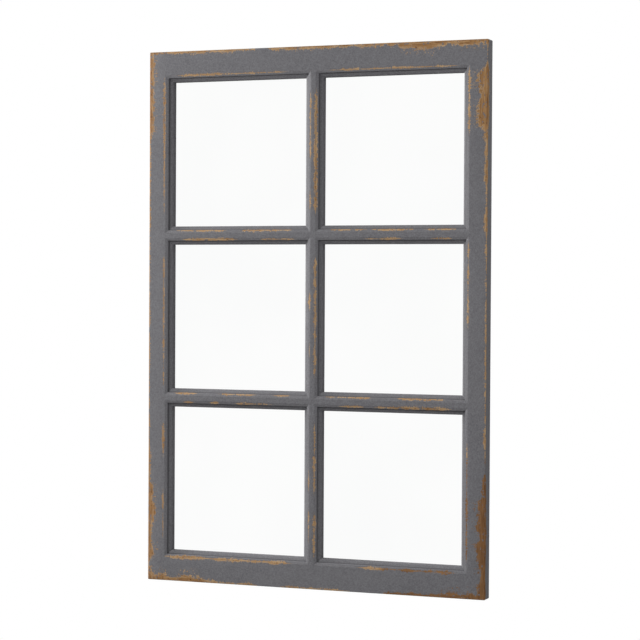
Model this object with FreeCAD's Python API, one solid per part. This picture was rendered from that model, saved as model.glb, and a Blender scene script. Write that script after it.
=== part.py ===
import FreeCAD, Part
import math
import os
from FreeCAD import Vector

# Window mirror: a wooden sash of stiles, rails and glazing bars in front of one mirror sheet.
# Millimetres. X runs to the viewer's right, Y towards the wall and Z up.
# The origin is the middle of the mirror on the wall plane, where the bumpers touch.

# Frame
frame_width = 610.0
frame_height = 914.0
frame_thickness = 25.4
stile_flat = 31.0  # plain face of a stile, from its outer edge to the moulding
rail_flat = 41.0  # plain face of a rail, from its outer edge to the moulding
edge_ease = 1.5  # rounding along the frame's outer edges

# Moulding along every pane: a sloping shoulder with a round nose, a step down and a flattened quarter round
shoulder_width = 5.0
shoulder_drop = 1.2  # fall of the shoulder from the flat to its nose
nose_radius = 1.25
quirk_depth = 4.4  # front face to the foot of the step
ovolo_width = 6.5
ovolo_fall = 3.3  # foot of the step to the lip beside the mirror
ovolo_crown = 0.6  # how far the round stands out from a straight slope
mirror_depth = 13.0  # front face to mirror
lip_width = 9.0  # overlap of the moulding in front of the rabbet

# Glazing bars
muntin_flat = 8.5  # plain face between the two mouldings of a bar

# What the rabbet holds
glass_thickness = 3.0
card_thickness = 2.0
board_thickness = 3.0
rabbet_gap = 1.0  # room round the glass, card and board
point_length = 16.0
point_bite = 6.0  # length of a retaining point that is driven into the wood
point_width = 8.0
point_thickness = 0.6
points_per_stile = 5
points_per_rail = 3

# Dowels
corner_dowel_diameter = 8.0
corner_dowel_length = 40.0
corner_dowel_inset = 12.0  # outer dowel to the rail's outer edge
corner_dowel_pitch = 17.0
bar_dowel_diameter = 5.0
bar_dowel_length = 24.0
cross_dowel_length = 32.0
dowel_end_gap = 1.0  # room for glue at the bottom of each dowel hole
dowel_chamfer = 0.6

# Strap hangers
hanger_height = 250.0  # ring axis above the middle of the mirror
strap_width = 14.0
strap_thickness = 1.2
strap_seam = 0.4  # slit where the rolled eye meets the strap again
ring_wire = 3.0
ring_clearance = 0.05  # radial room of the ring in its eye
ring_corner = 3.0  # bend at the ends of the ring's straight bar
ring_side = 3.5  # straight side of the ring below the bend
eye_end_gap = 2.5  # eye to the ring's bend, at each end
screw_gap = 3.0  # hanging ring to the first screw head
screw_pitch = 13.0
screw_diameter = 3.5
screw_length = 16.0  # under the head
screw_tip = 4.0
screw_hole_room = 0.4  # radial room of a screw in the strap
head_diameter = 7.0
head_height = 2.2
head_round = 1.2
recess_length = 4.0
recess_width = 0.9
recess_depth = 1.3

# Wall bumpers
bumper_diameter = 12.0
bumper_inset = 22.0  # middle of a bumper to the frame's top or bottom edge
bumper_round = 1.0
wall_clearance = 0.5  # eye of the hanger to the wall

cut_margin = 5.0  # how far cutting shapes run past what they cut

# Worked out from the sizes above
moulding_width = shoulder_width + ovolo_width
lip_depth = quirk_depth + ovolo_fall
bar_width = muntin_flat + 2 * moulding_width
stile_back = stile_flat + moulding_width - lip_width
rail_back = rail_flat + moulding_width - lip_width
half_width = frame_width / 2
half_height = frame_height / 2
stile_edge = half_width - stile_flat
rail_edge = half_height - rail_flat
opening_height = 2 * (rail_edge - moulding_width)
row_pitch = (opening_height + bar_width) / 3  # three equal rows of panes

wire_radius = ring_wire / 2
eye_inner = wire_radius + ring_clearance
eye_outer = eye_inner + strap_thickness
ring_half_width = strap_width / 2 + eye_end_gap + ring_corner
ring_drop = ring_corner + ring_side + ring_half_width
first_hole = ring_drop + wire_radius + screw_gap + head_diameter / 2
second_hole = first_hole + screw_pitch

bumper_height = 2 * eye_outer + wall_clearance
back_y = -bumper_height
front_y = back_y - frame_thickness
hanger_x = half_width - stile_back / 2

X_AXIS = Vector(1, 0, 0)
Y_AXIS = Vector(0, 1, 0)
Z_AXIS = Vector(0, 0, 1)
ORIGIN = Vector(0, 0, 0)


def depth(distance):
    """Y of a point that lies this far behind the front face."""
    return front_y + distance


def line(start, end):
    return Part.LineSegment(start, end).toShape()


def solid(shape):
    return shape.removeSplitter().Solids[0]


def box_between(low, high):
    size = high - low
    return Part.makeBox(size.x, size.y, size.z, low)


def slab(outline, low_y, high_y):
    """A plate in the XZ plane, from its outline's (x, z) corners."""
    corners = [Vector(x, low_y, z) for x, z in outline]
    face = Part.Face(Part.makePolygon(corners + corners[:1]))
    return face.extrude(Vector(0, high_y - low_y, 0))


def rod(middle, axis, diameter, length):
    return Part.makeCylinder(diameter / 2, length, middle - axis * (length / 2), axis)


def turned(shape, degrees):
    """The shape turned about the Y axis: each quarter turn takes the left stile's place to the next side."""
    copy = shape.copy()
    copy.rotate(ORIGIN, Y_AXIS, degrees)
    return copy


def moulding(edge, side):
    """Edges of the moulding's section from the flat's edge to the mirror, with its two end points."""
    def point(inset, distance):
        return Vector(edge + side * inset, depth(distance), 0)

    start = point(0, 0)
    corner = point(shoulder_width, shoulder_drop)
    foot = point(shoulder_width, quirk_depth)
    lip = point(moulding_width, lip_depth)
    end = point(moulding_width, mirror_depth)

    slope = (start - corner).normalize()
    half_angle = slope.getAngle(Y_AXIS) / 2
    nose_reach = nose_radius / math.tan(half_angle)
    nose_start = corner + slope * nose_reach
    nose_end = corner + Y_AXIS * nose_reach
    inward = (slope + Y_AXIS).normalize()
    nose_middle = corner + inward * (nose_radius / math.sin(half_angle) - nose_radius)

    chord = lip - foot
    outward = Vector(side * chord.y, -side * chord.x, 0).normalize()
    ovolo_middle = (foot + lip) * 0.5 + outward * ovolo_crown

    edges = [
        line(start, nose_start),
        Part.Arc(nose_start, nose_middle, nose_end).toShape(),
        line(nose_end, foot),
        Part.Arc(foot, ovolo_middle, lip).toShape(),
        line(lip, end),
    ]
    return edges, start, end


def extruded(edges, length):
    face = Part.Face(Part.Wire(Part.__sortEdges__(edges)))
    bar = face.extrude(Vector(0, 0, length))
    bar.translate(Vector(0, 0, -length / 2))
    return bar


def frame_bar(flat, length, mitre):
    """A stile or rail along Z, outer edge at x = 0, its moulding mitred where it meets the next bar."""
    edges, start, end = moulding(flat, 1)
    back = flat + moulding_width - lip_width
    outline = [
        end,
        Vector(back, depth(mirror_depth), 0),
        Vector(back, back_y, 0),
        Vector(0, back_y, 0),
        Vector(0, front_y, 0),
        start,
    ]
    edges += [line(a, b) for a, b in zip(outline, outline[1:])]
    bar = extruded(edges, length)
    reach = moulding_width + cut_margin
    for end_side in (-1, 1):
        wedge = [
            (flat, end_side * mitre),
            (flat + reach, end_side * (mitre - reach)),
            (flat + reach, end_side * (length / 2 + cut_margin)),
            (flat, end_side * (length / 2 + cut_margin)),
        ]
        bar = bar.cut(slab(wedge, front_y - cut_margin, back_y + cut_margin))
    return bar


def glazing_bar(half_length):
    """A glazing bar along Z, its ends pointed so that the mouldings meet their neighbours' in mitres."""
    half_flat = muntin_flat / 2
    right, right_start, right_end = moulding(half_flat, 1)
    left, left_start, left_end = moulding(-half_flat, -1)
    edges = right + left + [line(left_start, right_start), line(left_end, right_end)]
    reach = moulding_width + cut_margin
    corners = [
        (half_flat, half_length),
        (half_flat + reach, half_length - reach),
        (half_flat + reach, reach - half_length),
        (half_flat, -half_length),
    ]
    pointed = corners + [(-x, z) for x, z in reversed(corners)]
    bar = extruded(edges, 2 * half_length)
    return bar.common(slab(pointed, front_y - cut_margin, back_y))


def glazing_bars():
    """The vertical bar from rail to rail, and the short bars from the stiles to it."""
    vertical = glazing_bar(rail_edge)
    half_length = (stile_edge - muntin_flat / 2) / 2
    middle = muntin_flat / 2 + half_length
    short = turned(glazing_bar(half_length), 90)
    bars = {}
    for row, height in (("upper", row_pitch / 2), ("lower", -row_pitch / 2)):
        for name, side in (("left", -1), ("right", 1)):
            bar = short.copy()
            bar.translate(Vector(side * middle, 0, height))
            bars[row + "_" + name + "_muntin"] = bar
    for bar in bars.values():
        vertical = vertical.cut(bar)
    bars["vertical_muntin"] = vertical
    return bars


def frame_bars():
    """Both stiles at full height and the two rails between them, with their outer edges eased."""
    stile = frame_bar(stile_flat, frame_height, rail_edge)
    stile.translate(Vector(-half_width, 0, 0))
    rail = frame_bar(rail_flat, 2 * stile_edge, stile_edge)
    rail.translate(Vector(-half_height, 0, 0))
    low = Vector(-half_width, front_y, -half_height)
    envelope = box_between(low, Vector(half_width, back_y, half_height))
    envelope = envelope.makeFillet(edge_ease, envelope.Edges)
    placed = {
        "left_stile": stile,
        "top_rail": turned(rail, 90),
        "right_stile": turned(stile, 180),
        "bottom_rail": turned(rail, 270),
    }
    return {name: bar.common(envelope) for name, bar in placed.items()}


def dowel_places():
    """Middle, axis, diameter and length of every dowel, by node."""
    corner = []
    for side in (-1, 1):
        for end in (-1, 1):
            for inset in (corner_dowel_inset, corner_dowel_inset + corner_dowel_pitch):
                middle = Vector(side * stile_edge, depth(frame_thickness / 2), end * (half_height - inset))
                corner.append((middle, X_AXIS, corner_dowel_diameter, corner_dowel_length))
    bar_y = depth(mirror_depth / 2)
    ends = []
    crossings = []
    for end in (-1, 1):
        middle = Vector(0, bar_y, end * rail_edge)
        ends.append((middle, Z_AXIS, bar_dowel_diameter, bar_dowel_length))
        height = end * row_pitch / 2
        for side in (-1, 1):
            middle = Vector(side * stile_edge, bar_y, height)
            ends.append((middle, X_AXIS, bar_dowel_diameter, bar_dowel_length))
        crossings.append((Vector(0, bar_y, height), X_AXIS, bar_dowel_diameter, cross_dowel_length))
    return {"corner_dowels": corner, "muntin_dowels": ends, "cross_dowels": crossings}


def dowel(middle, axis, diameter, length):
    pin = rod(middle, axis, diameter, length)
    rims = [edge for edge in pin.Edges if edge.Curve.TypeId == "Part::GeomCircle"]
    return pin.makeChamfer(dowel_chamfer, rims)


def dowel_hole(middle, axis, diameter, length):
    return rod(middle, axis, diameter, length + 2 * dowel_end_gap)


def rabbet_sheet(start_depth, thickness):
    """A sheet that fills the rabbet but for the gap round its edge."""
    x = half_width - stile_back - rabbet_gap
    z = half_height - rail_back - rabbet_gap
    low = Vector(-x, depth(start_depth), -z)
    return box_between(low, Vector(x, depth(start_depth + thickness), z))


def retaining_points():
    """Flat steel points driven into the rabbet's walls, lying on the board."""
    board_back = mirror_depth + glass_thickness + card_thickness + board_thickness
    low = Vector(-point_bite, depth(board_back), -point_width / 2)
    high = Vector(point_length - point_bite, depth(board_back + point_thickness), point_width / 2)
    point = box_between(low, high)
    points = []
    sides = (
        (0, half_width - stile_back, half_height - rail_back, points_per_stile),
        (90, half_height - rail_back, half_width - stile_back, points_per_rail),
    )
    for angle, wall, half_run, count in sides:
        pitch = 2 * half_run / count
        for index in range(count):
            copy = point.copy()
            copy.translate(Vector(-wall, 0, -half_run + (index + 0.5) * pitch))
            points.append(turned(copy, angle))
            points.append(turned(copy, angle + 180))
    return points


def hanger_ring():
    """D-ring hanging from its eye, with its straight bar on the X axis through the origin."""
    share = math.sqrt(0.5)
    bend = Vector(ring_half_width - ring_corner, 0, -ring_corner)
    bow = Vector(0, 0, ring_half_width - ring_drop)
    bar_end = Vector(bend.x, 0, 0)
    side_top = Vector(ring_half_width, 0, bend.z)
    side_foot = Vector(ring_half_width, 0, bow.z)
    foot = Vector(0, 0, -ring_drop)
    path = Part.Wire([
        line(ORIGIN, bar_end),
        Part.Arc(bar_end, bend + Vector(share, 0, share) * ring_corner, side_top).toShape(),
        line(side_top, side_foot),
        Part.Arc(side_foot, bow + Vector(share, 0, -share) * ring_half_width, foot).toShape(),
    ])
    section = Part.Wire(Part.makeCircle(wire_radius, ORIGIN, X_AXIS))
    half = path.makePipeShell([section], True, False)
    return half.fuse(half.mirror(ORIGIN, X_AXIS))


def hanger_strap():
    """Strap with its end rolled into an eye round the X axis through the origin, its back at -eye_outer."""
    half = strap_width / 2
    low = Vector(-half, -eye_outer, -second_hole)
    plate = box_between(low, Vector(half, strap_thickness - eye_outer, 0))
    foot = Vector(0, -eye_outer, -second_hole)
    plate = plate.fuse(Part.makeCylinder(half, strap_thickness, foot, Y_AXIS))
    eye = rod(ORIGIN, X_AXIS, 2 * eye_outer, strap_width)
    bore = rod(ORIGIN, X_AXIS, 2 * eye_inner, strap_width + cut_margin)
    seam_low = Vector(-half - cut_margin, strap_thickness - eye_outer, -eye_outer - cut_margin)
    seam_high = Vector(half + cut_margin, strap_thickness - eye_outer + strap_seam, 0)
    strap = plate.fuse(eye).cut(bore).cut(box_between(seam_low, seam_high))
    for drop in (first_hole, second_hole):
        hole = rod(Vector(0, -eye_outer, -drop), Y_AXIS, screw_diameter + 2 * screw_hole_room, cut_margin)
        strap = strap.cut(hole)
    return strap


def hanger_screw():
    """Pan-head screw pointing along -Y, with the underside of its head at the origin."""
    head = Part.makeCylinder(head_diameter / 2, head_height, ORIGIN, Y_AXIS)
    rim = [edge for edge in head.Edges if edge.BoundBox.YMin > head_height / 2 and edge.isClosed()]
    head = head.makeFillet(head_round, rim)
    shank_end = Vector(0, screw_tip - screw_length, 0)
    shank = Part.makeCylinder(screw_diameter / 2, screw_length - screw_tip, shank_end, Y_AXIS)
    tip = Part.makeCone(screw_diameter / 2, 0, screw_tip, shank_end, -Y_AXIS)
    screw = head.fuse([shank, tip])
    long = recess_length / 2
    short = recess_width / 2
    for x, z in ((long, short), (short, long)):
        low = Vector(-x, head_height - recess_depth, -z)
        screw = screw.cut(box_between(low, Vector(x, head_height + cut_margin, z)))
    return screw


def placed(shape, place):
    copy = shape.copy()
    copy.translate(place)
    return copy


def hangers():
    """Strap, ring and two screws on the back of each stile, by side."""
    sets = {}
    for name, side in (("left", -1), ("right", 1)):
        axis_point = Vector(side * hanger_x, back_y + eye_outer, hanger_height)
        screws = []
        for drop in (first_hole, second_hole):
            seat = axis_point + Vector(0, strap_thickness - eye_outer, -drop)
            screws.append(solid(placed(hanger_screw(), seat)))
        sets[name] = {
            "strap": solid(placed(hanger_strap(), axis_point)),
            "ring": solid(placed(hanger_ring(), axis_point)),
            "screws": screws,
        }
    return sets


def bumper():
    """Rubber bumper standing on the back of the frame at the origin, its wall face rounded at the rim."""
    pad = Part.makeCylinder(bumper_diameter / 2, bumper_height, ORIGIN, Y_AXIS)
    rim = [edge for edge in pad.Edges if edge.BoundBox.YMin > bumper_height / 2 and edge.isClosed()]
    return pad.makeFillet(bumper_round, rim)


def bumpers():
    pads = {}
    for row, end in (("upper", 1), ("lower", -1)):
        for name, side in (("left", -1), ("right", 1)):
            place = Vector(side * hanger_x, back_y, end * (half_height - bumper_inset))
            pads[row + "_" + name + "_bumper"] = solid(placed(bumper(), place))
    return pads


def build():
    """Every node's solids, with the frame cut to take what it holds."""
    muntins = glazing_bars()
    frame = frame_bars()
    dowels = dowel_places()
    points = retaining_points()
    hardware = hangers()
    holes = [dowel_hole(*place) for places in dowels.values() for place in places]
    screws = [screw for fittings in hardware.values() for screw in fittings["screws"]]

    nodes = {}
    for name, bar in frame.items():
        nodes[name] = [solid(bar.cut(list(muntins.values())).cut(holes + points + screws))]
    for name, bar in muntins.items():
        nodes[name] = [solid(bar.cut(holes))]
    for name, places in dowels.items():
        nodes[name] = [solid(dowel(*place)) for place in places]
    nodes["mirror_glass"] = [rabbet_sheet(mirror_depth, glass_thickness)]
    nodes["card_sheet"] = [rabbet_sheet(mirror_depth + glass_thickness, card_thickness)]
    board_front = mirror_depth + glass_thickness + card_thickness
    nodes["backing_board"] = [rabbet_sheet(board_front, board_thickness)]
    nodes["retaining_points"] = points
    for name, fittings in hardware.items():
        nodes[name + "_hanger_strap"] = [fittings["strap"]]
        nodes[name + "_hanger_ring"] = [fittings["ring"]]
        nodes[name + "_hanger_screws"] = fittings["screws"]
    for name, pad in bumpers().items():
        nodes[name] = [pad]
    return nodes


os.makedirs("parts", exist_ok=True)
for node, solids in build().items():
    shape = solids[0] if len(solids) == 1 else Part.makeCompound(solids)
    shape.exportStep("parts/" + node + ".step")
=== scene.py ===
import math
import bmesh
import bpy
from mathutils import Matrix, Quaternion, Vector


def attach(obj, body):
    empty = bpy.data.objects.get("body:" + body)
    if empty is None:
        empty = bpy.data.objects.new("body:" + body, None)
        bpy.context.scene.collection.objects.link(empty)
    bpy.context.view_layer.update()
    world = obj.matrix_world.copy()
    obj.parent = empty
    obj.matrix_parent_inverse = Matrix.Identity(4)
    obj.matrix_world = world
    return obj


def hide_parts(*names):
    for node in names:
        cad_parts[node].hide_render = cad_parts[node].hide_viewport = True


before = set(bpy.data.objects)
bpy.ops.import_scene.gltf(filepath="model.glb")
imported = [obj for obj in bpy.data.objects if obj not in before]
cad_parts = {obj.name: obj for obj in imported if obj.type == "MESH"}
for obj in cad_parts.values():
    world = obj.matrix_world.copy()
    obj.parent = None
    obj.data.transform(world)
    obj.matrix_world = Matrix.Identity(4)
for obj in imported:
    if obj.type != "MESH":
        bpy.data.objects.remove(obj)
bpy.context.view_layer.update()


# Stiles: the two uprights of the sash, pine with a shoulder and an ovolo run along the inner edge
# and a rabbet behind for the mirror. They are full height, with mouldings mitred into the rails'.
# Brushed grey paint covers the front and sides and is rubbed through to the wood along the edges.
front_y = -0.0314
quirk_y = -0.0270
mirror_y = -0.0184
back_y = -0.0060
half_width = 0.305
half_height = 0.457
stile_flat = 0.031
rail_edge = 0.416
shoulder = 0.005
shoulder_drop = 0.0012
nose = 0.0010
nose_steps = 7
ovolo = 0.0065
ovolo_start = math.radians(8)
ovolo_end = math.radians(46)
ovolo_steps = 7
lip_ease = 0.0004
rabbet_step = 0.0025
arris_ease = 0.0015
arris_steps = 8
bar_half_flat = 0.00425
bar_height = 0.140083
outer_cut = 0.004
inner_cut = 0.003
cut_length = 0.004
outer_crest = 0.0009
inner_crest = 0.0010
side_slope = 2.5
stroke_taper = 0.012
arris_reach = 0.002
fully_rubbed = 0.006
waver_length = 0.009
waver_depth = 0.0007
bar_smoothing = 13
log_step = 3.1
close = 0.00003
squarely = 0.9


def near(value, place):
    return abs(value - place) < close


def choose_faces(piece, wanted):
    """Select the faces whose middle and normal pass a test."""
    bpy.ops.mesh.select_mode(type="FACE")
    bpy.ops.mesh.select_all(action="DESELECT")
    cage = bmesh.from_edit_mesh(piece.data)
    for face in cage.faces:
        face.select_set(wanted(face.calc_center_median(), face.normal))
    bmesh.update_edit_mesh(piece.data)


def choose_edges(piece, wanted):
    """Select the edges whose two ends pass a test."""
    bpy.ops.mesh.select_mode(type="EDGE")
    bpy.ops.mesh.select_all(action="DESELECT")
    cage = bmesh.from_edit_mesh(piece.data)
    for edge in cage.edges:
        edge.select_set(wanted(edge.verts[0].co, edge.verts[1].co))
    bmesh.update_edit_mesh(piece.data)


def choose_points(piece, wanted):
    """Select the points whose place passes a test."""
    bpy.ops.mesh.select_mode(type="VERT")
    bpy.ops.mesh.select_all(action="DESELECT")
    cage = bmesh.from_edit_mesh(piece.data)
    for point in cage.verts:
        point.select_set(wanted(point.co))
    bmesh.update_edit_mesh(piece.data)


def cut_round(axis, places):
    """Cut an edge loop right round the piece at each place along an axis."""
    for place in places:
        point = [0, 0, 0]
        normal = [0, 0, 0]
        point[axis] = place
        normal[axis] = 1
        bpy.ops.mesh.select_all(action="SELECT")
        bpy.ops.mesh.bisect(plane_co=point, plane_no=normal)


def block(name, low, high):
    """Start a piece from a cube between two corners, and open it for editing."""
    low = Vector(low)
    high = Vector(high)
    bpy.ops.object.select_all(action="DESELECT")
    bpy.ops.mesh.primitive_cube_add(size=1, location=(low + high) / 2, scale=high - low)
    piece = bpy.context.object
    piece.name = name
    piece.data.name = name
    bpy.ops.object.transform_apply(location=True, rotation=True, scale=True)
    bpy.ops.object.mode_set(mode="EDIT")
    return piece


def close_editing():
    """Turn every normal outward and leave edit mode."""
    bpy.ops.mesh.select_all(action="SELECT")
    bpy.ops.mesh.normals_make_consistent(inside=False)
    bpy.ops.object.mode_set(mode="OBJECT")


def bevel_chosen(width, segments):
    bpy.ops.mesh.bevel(offset=width, segments=segments, profile=0.5, affect="EDGES",
                       clamp_overlap=False)


def draw_out(piece, x, side, step, drawn, bays, wanted):
    """Extrude part of a bar's side by a step, and shorten it in each bay to mitre its ends."""
    choose_faces(piece, lambda middle, normal: near(middle.x, x)
                 and normal.x * side > squarely and wanted(middle))
    bpy.ops.mesh.extrude_region_move(TRANSFORM_OT_translate={"value": (side * step, 0, 0)})
    for low, high in bays:
        choose_points(piece, lambda spot: near(spot.x, x + side * step)
                      and spot.y < mirror_y + close
                      and low + drawn - close < spot.z < high - drawn + close)
        length = high - low - 2 * drawn
        bpy.ops.transform.resize(value=(1, 1, 1 - 2 * step / length),
                                 center_override=(0, 0, (low + high) / 2))


def run_moulding(piece, edge, side, bays, half_length, rabbeted):
    """Draw the moulding out of a bar's side: a sloped shoulder with a round nose, and a quirk and
    an ovolo below it."""
    def in_bay(middle):
        return middle.y < mirror_y and any(low < middle.z < high for low, high in bays)

    def beside_glass(middle):
        return in_bay(middle) or (middle.y > mirror_y and abs(middle.z) < half_length)

    drawn = 0
    if rabbeted:
        draw_out(piece, edge, side, rabbet_step, 0, bays, beside_glass)
        drawn = rabbet_step
        choose_points(piece, lambda spot: near(spot.x, edge + rabbet_step)
                      and near(spot.y, back_y) and near(abs(spot.z), half_length))
        bpy.ops.transform.resize(value=(1, 1, 1 - rabbet_step / half_length),
                                 center_override=(0, 0, 0))
    draw_out(piece, edge + side * drawn, side, shoulder - drawn, drawn, bays, in_bay)
    draw_out(piece, edge + side * shoulder, side, ovolo, shoulder, bays,
             lambda middle: in_bay(middle) and middle.y > quirk_y)

    if rabbeted:
        joint = edge + rabbet_step
        choose_edges(piece, lambda a, b: near(a.x, joint) and near(b.x, joint)
                     and min(a.y, b.y) < mirror_y - close)
        bpy.ops.mesh.dissolve_edges(use_verts=True)
    corner = edge + side * shoulder
    choose_edges(piece, lambda a, b: near(a.x, corner) and near(b.x, corner)
                 and near(a.y, front_y) and near(b.y, front_y))
    bpy.ops.transform.translate(value=(0, shoulder_drop, 0))
    bevel_chosen(nose, nose_steps)
    bpy.ops.mesh.select_all(action="SELECT")
    bpy.ops.mesh.remove_doubles(threshold=close)

    lip = corner + side * ovolo
    choose_edges(piece, lambda a, b: near(a.y, quirk_y) and near(b.y, quirk_y)
                 and near(min(a.x, b.x), min(corner, lip))
                 and near(max(a.x, b.x), max(corner, lip)))
    bpy.ops.mesh.subdivide(number_cuts=ovolo_steps - 1)
    radius = ovolo / (math.sin(ovolo_end) - math.sin(ovolo_start))
    for step in range(1, ovolo_steps + 1):
        across = ovolo * step / ovolo_steps
        turned = math.asin(math.sin(ovolo_start) + across / radius)
        fall = radius * (math.cos(ovolo_start) - math.cos(turned))
        choose_points(piece, lambda spot: near(spot.x, corner + side * across)
                      and near(spot.y, quirk_y))
        bpy.ops.transform.translate(value=(0, fall, 0))
    choose_edges(piece, lambda a, b: near(a.x, lip) and near(b.x, lip)
                 and near(a.y, quirk_y + fall) and near(b.y, quirk_y + fall))
    bevel_chosen(lip_ease, 2)


def divide_length(piece, stations):
    """Divide a bar into short lengths between its stations, so that its worn edges can waver."""
    stations = sorted(stations)
    for low, high in zip(stations, stations[1:]):
        cuts = round((high - low) / cut_length) - 1
        if cuts > 0:
            choose_edges(piece, lambda a, b: abs(a.z - b.z) > 0.5 * (high - low)
                         and min(a.z, b.z) > low - close and max(a.z, b.z) < high + close)
            bpy.ops.mesh.subdivide(number_cuts=cuts)


def rubbing(along, strokes):
    """How far the paint is rubbed back at this place, from strokes of start, end and reach."""
    reach = 0
    for start, end, depth in strokes:
        inside = min(along - start, end - along) / stroke_taper
        reach = max(reach, depth * min(1, max(0, inside)))
    return reach


def keep_attribute(piece, name, vectors):
    kept = piece.data.attributes.new(name, "FLOAT_VECTOR", "POINT")
    kept.data.foreach_set("vector", [number for vector in vectors for number in vector])


def record_wear(piece, runs_at, reaches_at, nook_at, bare_at, stained, log):
    """Keep on the mesh where each point lies in its bar, how far it is from each rubbed edge and
    from the quirk's foot, where painted shade goes, how far each edge is rubbed there, and where
    the wood is bare or stained."""
    arris = piece.vertex_groups.new(name="arris")
    places = []
    edge_runs = []
    rubs = []
    coats = []
    for vert in piece.data.vertices:
        spot = vert.co
        runs = runs_at(spot, spot.y - front_y)
        reaches = reaches_at(spot)
        places.append((spot.x, spot.y, spot.z + log))
        edge_runs.append(runs)
        rubs.append(reaches)
        coats.append((nook_at(spot), 1 if bare_at(spot) else 0, rubbing(spot.z, stained)))
        for run, reach in zip(runs, reaches):
            if abs(run) < arris_reach and reach > 0:
                arris.add([vert.index], min(1, reach / fully_rubbed), "REPLACE")
    keep_attribute(piece, "bar_place", places)
    keep_attribute(piece, "edge_run", edge_runs)
    keep_attribute(piece, "rubbed", rubs)
    keep_attribute(piece, "coat", coats)


def waver(piece):
    """Take a little wood off the rubbed arrises, unevenly, as sanding by hand does."""
    grain = bpy.data.textures.new(piece.name + "_waver", "CLOUDS")
    grain.noise_scale = waver_length
    grain.noise_depth = 2
    wear = piece.modifiers.new("wear", "DISPLACE")
    wear.texture = grain
    wear.texture_coords = "LOCAL"
    wear.vertex_group = "arris"
    wear.mid_level = 1
    wear.strength = waver_depth
    bpy.ops.object.modifier_apply(modifier="wear")


def put_in_place(piece, quarter_turns, place):
    """Turn a finished piece about Y and set it in the sash, with its place in its mesh."""
    bpy.ops.object.mode_set(mode="OBJECT")
    piece.rotation_euler = (0, math.radians(90 * quarter_turns), 0)
    piece.location = place
    bpy.ops.object.transform_apply(location=True, rotation=True, scale=True)


def frame_bar(name, flat, half_length, horn, bays, strokes, log, crest=inner_crest, stained=()):
    """A stile or rail standing on its end, outer edge at x = 0, its moulding mitred in each bay."""
    top = half_length + horn
    piece = block(name, (0, front_y, -top), (flat, back_y, top))
    stations = [end for bay in bays for end in bay]
    cut_round(2, stations)
    cut_round(1, (quirk_y, mirror_y))
    run_moulding(piece, flat, 1, bays, half_length, True)

    def outside_arris(a, b):
        side = near(a.x, 0) and near(b.x, 0)
        end = horn > 0 and near(abs(a.z), top) and near(abs(b.z), top)
        on_front = near(a.y, front_y) and near(b.y, front_y)
        on_back = near(a.y, back_y) and near(b.y, back_y)
        return (side and end) or ((side or end) and (on_front or on_back))

    choose_edges(piece, outside_arris)
    bevel_chosen(arris_ease, arris_steps)
    cut_round(0, (outer_cut, flat - inner_cut))
    divide_length(piece, stations + [-top, top])
    close_editing()

    outer, inner, ends = strokes

    def runs_at(spot, deep):
        outer_run = spot.x + side_slope * deep - outer_crest
        inner_run = spot.x - flat + deep - crest
        end_run = top - abs(spot.z) + side_slope * deep - outer_crest if horn > 0 else 1
        return (outer_run, inner_run, end_run)

    def reaches_at(spot):
        near_reach, far_reach = ends[0] if spot.z > 0 else ends[1]
        share = min(1, max(0, spot.x / flat))
        end_reach = near_reach + (far_reach - near_reach) * share
        return (rubbing(spot.z, outer), rubbing(spot.z, inner), end_reach if horn > 0 else 0)

    # How far a point is from the quirk's foot, where the paint is darkened with painted shade.
    def nook_at(spot):
        return abs(spot.x - flat - shoulder) + abs(spot.y - quirk_y)

    def bare_at(spot):
        in_rabbet = spot.y > mirror_y - close and near(spot.x, flat + rabbet_step)
        return near(spot.y, back_y) or in_rabbet

    record_wear(piece, runs_at, reaches_at, nook_at, bare_at, stained, log)
    return piece


def finish_piece(piece, solid, body, finish, angle):
    """Smooth a piece, give it its finish, and let it stand for a solid on a body."""
    bpy.ops.object.shade_smooth_by_angle(angle=math.radians(angle))
    piece.data.materials.append(finish)
    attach(piece, body)
    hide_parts(solid)


def finish_bar(piece, solid, finish):
    waver(piece)
    finish_piece(piece, solid, "mirror", finish, bar_smoothing)


def node(tree, kind, **settings):
    made = tree.nodes.new("ShaderNode" + kind)
    for name, value in settings.items():
        setattr(made, name, value)
    return made


def maths(tree, operation, first, second=None, third=None):
    """A Math node whose inputs are sockets or plain numbers."""
    made = node(tree, "Math", operation=operation)
    for socket, value in zip(made.inputs, (first, second, third)):
        if isinstance(value, bpy.types.NodeSocket):
            tree.links.new(value, socket)
        elif value is not None:
            socket.default_value = value
    return made.outputs[0]


def scaled(tree, value, share):
    return maths(tree, "MULTIPLY", value, share)


def ramp_value(tree, value, low, high, out_low=0.0, out_high=1.0, smooth=True):
    """A value carried from one range to another, and held at its ends."""
    made = node(tree, "MapRange", interpolation_type="SMOOTHSTEP" if smooth else "LINEAR")
    tree.links.new(value, made.inputs["Value"])
    made.inputs["From Min"].default_value = low
    made.inputs["From Max"].default_value = high
    made.inputs["To Min"].default_value = out_low
    made.inputs["To Max"].default_value = out_high
    return made.outputs["Result"]


def blend(tree, share, first, second):
    """A colour mix whose inputs are sockets or colours; a Mix node's colours are inputs 6 and 7."""
    made = node(tree, "Mix", data_type="RGBA")
    sockets = (made.inputs[0], made.inputs[6], made.inputs[7])
    for socket, value in zip(sockets, (share, first, second)):
        if isinstance(value, bpy.types.NodeSocket):
            tree.links.new(value, socket)
        elif isinstance(value, tuple):
            socket.default_value = value + (1,)
        else:
            socket.default_value = value
    return made.outputs[2]


def noise(tree, vector, scale, detail=4.0, roughness=0.55, offset=(0, 0, 0), distortion=0.0):
    """A noise whose grain is scaled separately along each axis, in cells per metre."""
    mapping = node(tree, "Mapping")
    mapping.inputs["Scale"].default_value = scale
    mapping.inputs["Location"].default_value = offset
    tree.links.new(vector, mapping.inputs["Vector"])
    made = node(tree, "TexNoise")
    made.inputs["Scale"].default_value = 1
    made.inputs["Detail"].default_value = detail
    made.inputs["Roughness"].default_value = roughness
    made.inputs["Distortion"].default_value = distortion
    tree.links.new(mapping.outputs["Vector"], made.inputs["Vector"])
    return made.outputs["Fac"]


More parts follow.
